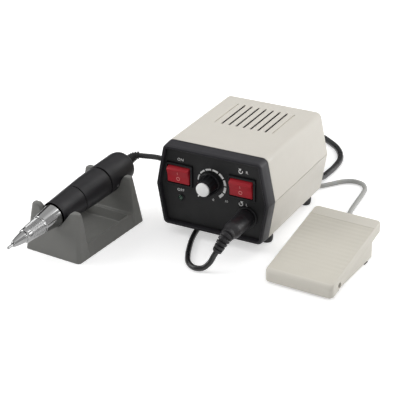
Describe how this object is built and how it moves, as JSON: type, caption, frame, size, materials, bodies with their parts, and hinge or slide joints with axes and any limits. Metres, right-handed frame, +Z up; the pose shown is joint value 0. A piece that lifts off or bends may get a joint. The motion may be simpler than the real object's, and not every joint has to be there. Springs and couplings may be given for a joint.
{
  "type": "electric nail drill",
  "caption": "Desktop electric nail drill: control box with speed knob and rocker switches, corded handpiece resting in a cradle, and a foot pedal.",
  "frame": {"origin": "middle of the footprint of the box, cradle with handpiece and pedal, on the table", "axes": "+Z up; the front panel of the box faces -Y; +X to the right seen from the front"},
  "size_m": [0.2742, 0.405, 0.0847],
  "materials": {
    "ivory_plastic": "warm light beige moulding, fine satin grain",
    "charcoal_plastic": "charcoal moulding, satin",
    "panel_black": "near-black printed panel, satin",
    "switch_black": "black moulding, semi-gloss",
    "rocker_red": "deep red moulding, glossy",
    "cap_white": "white cap, satin",
    "lamp_green": "dark green lens, glossy",
    "cradle_grey": "mid grey moulding, fine grain",
    "handpiece_black": "black anodised aluminium, satin",
    "chrome": "polished, with fine turned rings",
    "steel": "plain turned steel",
    "copper_winding": "enamelled copper wire",
    "magnet_dark": "dark grey motor can with magnets",
    "board_green": "glass fibre board",
    "rubber_black": "black rubber, matt",
    "cord_black": "black cord jacket, slightly glossy",
    "cord_grey": "light grey cord jacket"
  },
  "bodies": {
    "root": {"top_shell": "ivory_plastic", "bottom_shell": "ivory_plastic", "front_bezel": "charcoal_plastic", "front_panel": "panel_black", "rear_panel": "charcoal_plastic", "box_foot_front_left": "rubber_black", "box_foot_front_right": "rubber_black", "box_foot_rear_left": "rubber_black", "box_foot_rear_right": "rubber_black", "power_switch_housing": "switch_black", "direction_switch_housing": "switch_black", "potentiometer": "steel", "power_lamp": "lamp_green", "output_socket": "switch_black", "output_plug": "rubber_black", "transformer_core": "steel", "transformer_winding": "copper_winding", "circuit_board": "board_green", "fuse_holder": "switch_black", "pedal_jack": "steel", "mains_relief": "rubber_black", "cradle": "cradle_grey", "pedal_base": "ivory_plastic", "pedal_hinge_pin": "steel", "pedal_switch": "switch_black", "return_spring": "steel", "pedal_relief": "cord_grey", "pedal_foot_toe": "rubber_black", "pedal_foot_heel": "rubber_black", "handpiece_cord": "cord_black", "handpiece_cord_coil": "cord_black", "handpiece_cord_front": "cord_black", "mains_cord": "cord_black", "mains_cord_coil": "cord_black", "mains_plug": "rubber_black", "pedal_cord": "cord_grey", "pedal_cord_coil": "cord_grey", "pedal_jack_plug": "rubber_black"},
    "power_rocker": {"power_rocker": "rocker_red"},
    "direction_rocker": {"direction_rocker": "rocker_red"},
    "speed_knob": {"speed_knob": "switch_black", "knob_cap": "cap_white", "potentiometer_shaft": "steel"},
    "handpiece": {"rear_sleeve": "handpiece_black", "front_sleeve": "handpiece_black", "taper_sleeve": "chrome", "grip_ring": "chrome", "nose_cone": "chrome", "motor_can": "magnet_dark", "front_bearing": "steel", "rear_bearing": "steel", "brush_plate": "board_green", "handpiece_relief": "rubber_black"},
    "chuck_sleeve": {"chuck_sleeve": "handpiece_black"},
    "rotor": {"spindle": "steel", "collet": "steel", "armature": "copper_winding"},
    "tool_pin": {"tool_pin": "steel"},
    "pedal_cover": {"pedal_cover": "ivory_plastic"},
    "switch_plunger": {"switch_plunger": "rocker_red"}
  },
  "joints": [
    {"name": "power_rocker_tilt", "type": "hinge", "parent": "root", "child": "power_rocker", "pos_m": [-0.03061, -0.00068, 0.05721], "axis": [1, 0, 0], "range_deg": [-20, 0]},
    {"name": "direction_rocker_tilt", "type": "hinge", "parent": "root", "child": "direction_rocker", "pos_m": [0.02892, -0.00068, 0.05721], "axis": [1, 0, 0], "range_deg": [-20, 0]},
    {"name": "speed_knob_turn", "type": "hinge", "parent": "root", "child": "speed_knob", "pos_m": [0.0003, 0.00712, 0.05631], "axis": [0, 1, 0], "range_deg": [0, 300]},
    {"name": "handpiece_lift", "type": "slide", "parent": "root", "child": "handpiece", "axis": [0, 0, 1], "range_m": [0, 0.055]},
    {"name": "chuck_sleeve_turn", "type": "hinge", "parent": "handpiece", "child": "chuck_sleeve", "pos_m": [-0.10813, -0.08762, 0.0366], "axis": [0.0735, 0.9955, 0.0593], "range_deg": [0, 45]},
    {"name": "spindle_spin", "type": "hinge", "parent": "handpiece", "child": "rotor", "pos_m": [-0.10813, -0.08762, 0.0366], "axis": [0.0735, 0.9955, 0.0593], "continuous": true},
    {"name": "tool_pin_draw", "type": "slide", "parent": "rotor", "child": "tool_pin", "axis": [-0.0735, -0.9955, -0.0593], "range_m": [0, 0.03]},
    {"name": "pedal_press", "type": "hinge", "parent": "root", "child": "pedal_cover", "pos_m": [0.07166, -0.0324, 0.0085], "axis": [-0.9987, 0.0506, 0], "range_deg": [0, 3], "stiffness_Nm_per_rad": 0.6, "springref_deg": -2.86, "deforming": ["return_spring"]},
    {"name": "switch_plunger_travel", "type": "slide", "parent": "root", "child": "switch_plunger", "axis": [0, 0, -1], "range_m": [0, 0.0018]}
  ],
  "couplings": [
    {"joint": "switch_plunger_travel", "follows": "pedal_press", "m_per_rad": 0.032}
  ]
}
